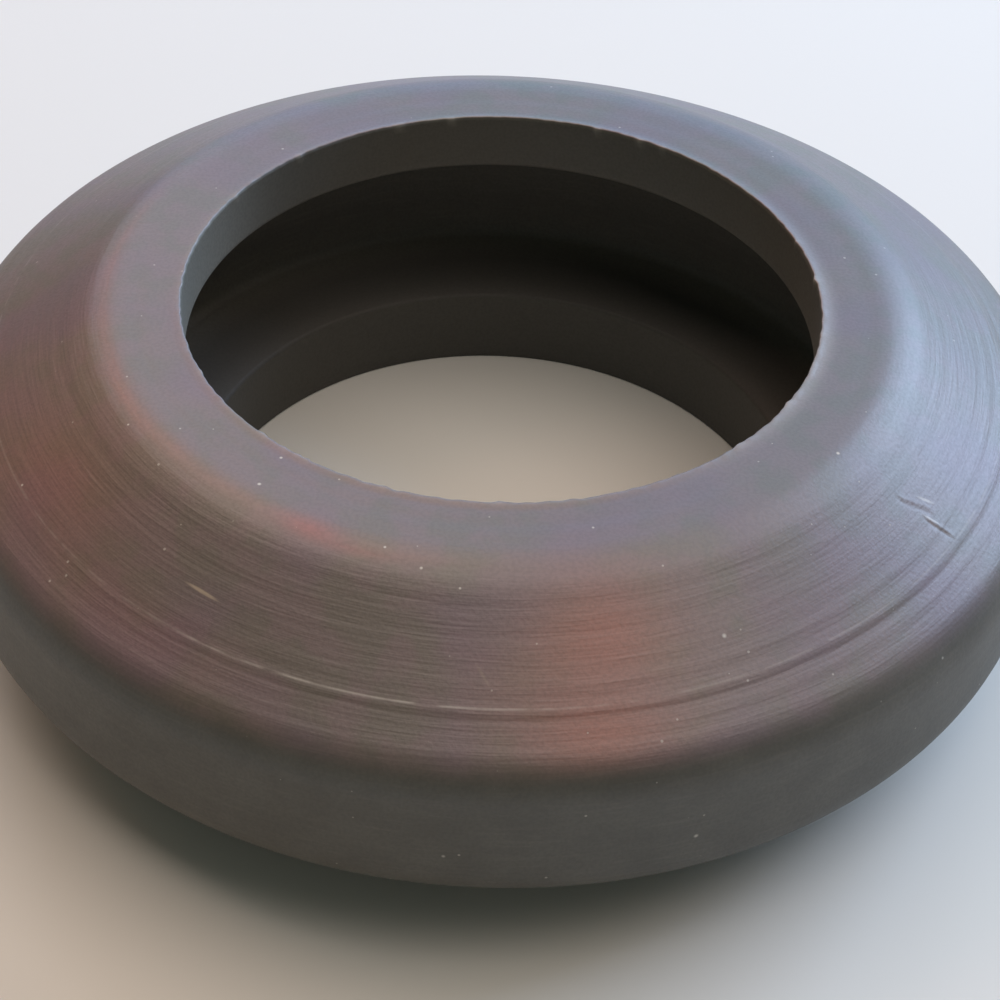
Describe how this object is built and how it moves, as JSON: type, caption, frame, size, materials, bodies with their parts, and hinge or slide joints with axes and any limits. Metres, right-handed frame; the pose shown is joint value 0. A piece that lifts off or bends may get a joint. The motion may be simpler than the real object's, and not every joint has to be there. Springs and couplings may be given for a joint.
{
  "type": "rubber lip seal ring",
  "caption": "Moulded rubber ring with flat sealing faces, conical shoulders, a rounded rim and a grooved bore with lips, which seals the joint between hose couplings.",
  "frame": {"origin": "on the bore's axis, in the plane of the lower sealing face", "axes": "+Z along the bore's axis, from the lower sealing face to the upper one; X and Y lie anywhere, because the ring is round"},
  "size_m": [0.034, 0.034, 0.01],
  "materials": {
    "rubber": "satin moulded black rubber with fine turning lines and a brown bloom"
  },
  "bodies": {
    "root": {"seal_ring": "rubber"}
  },
  "joints": []
}
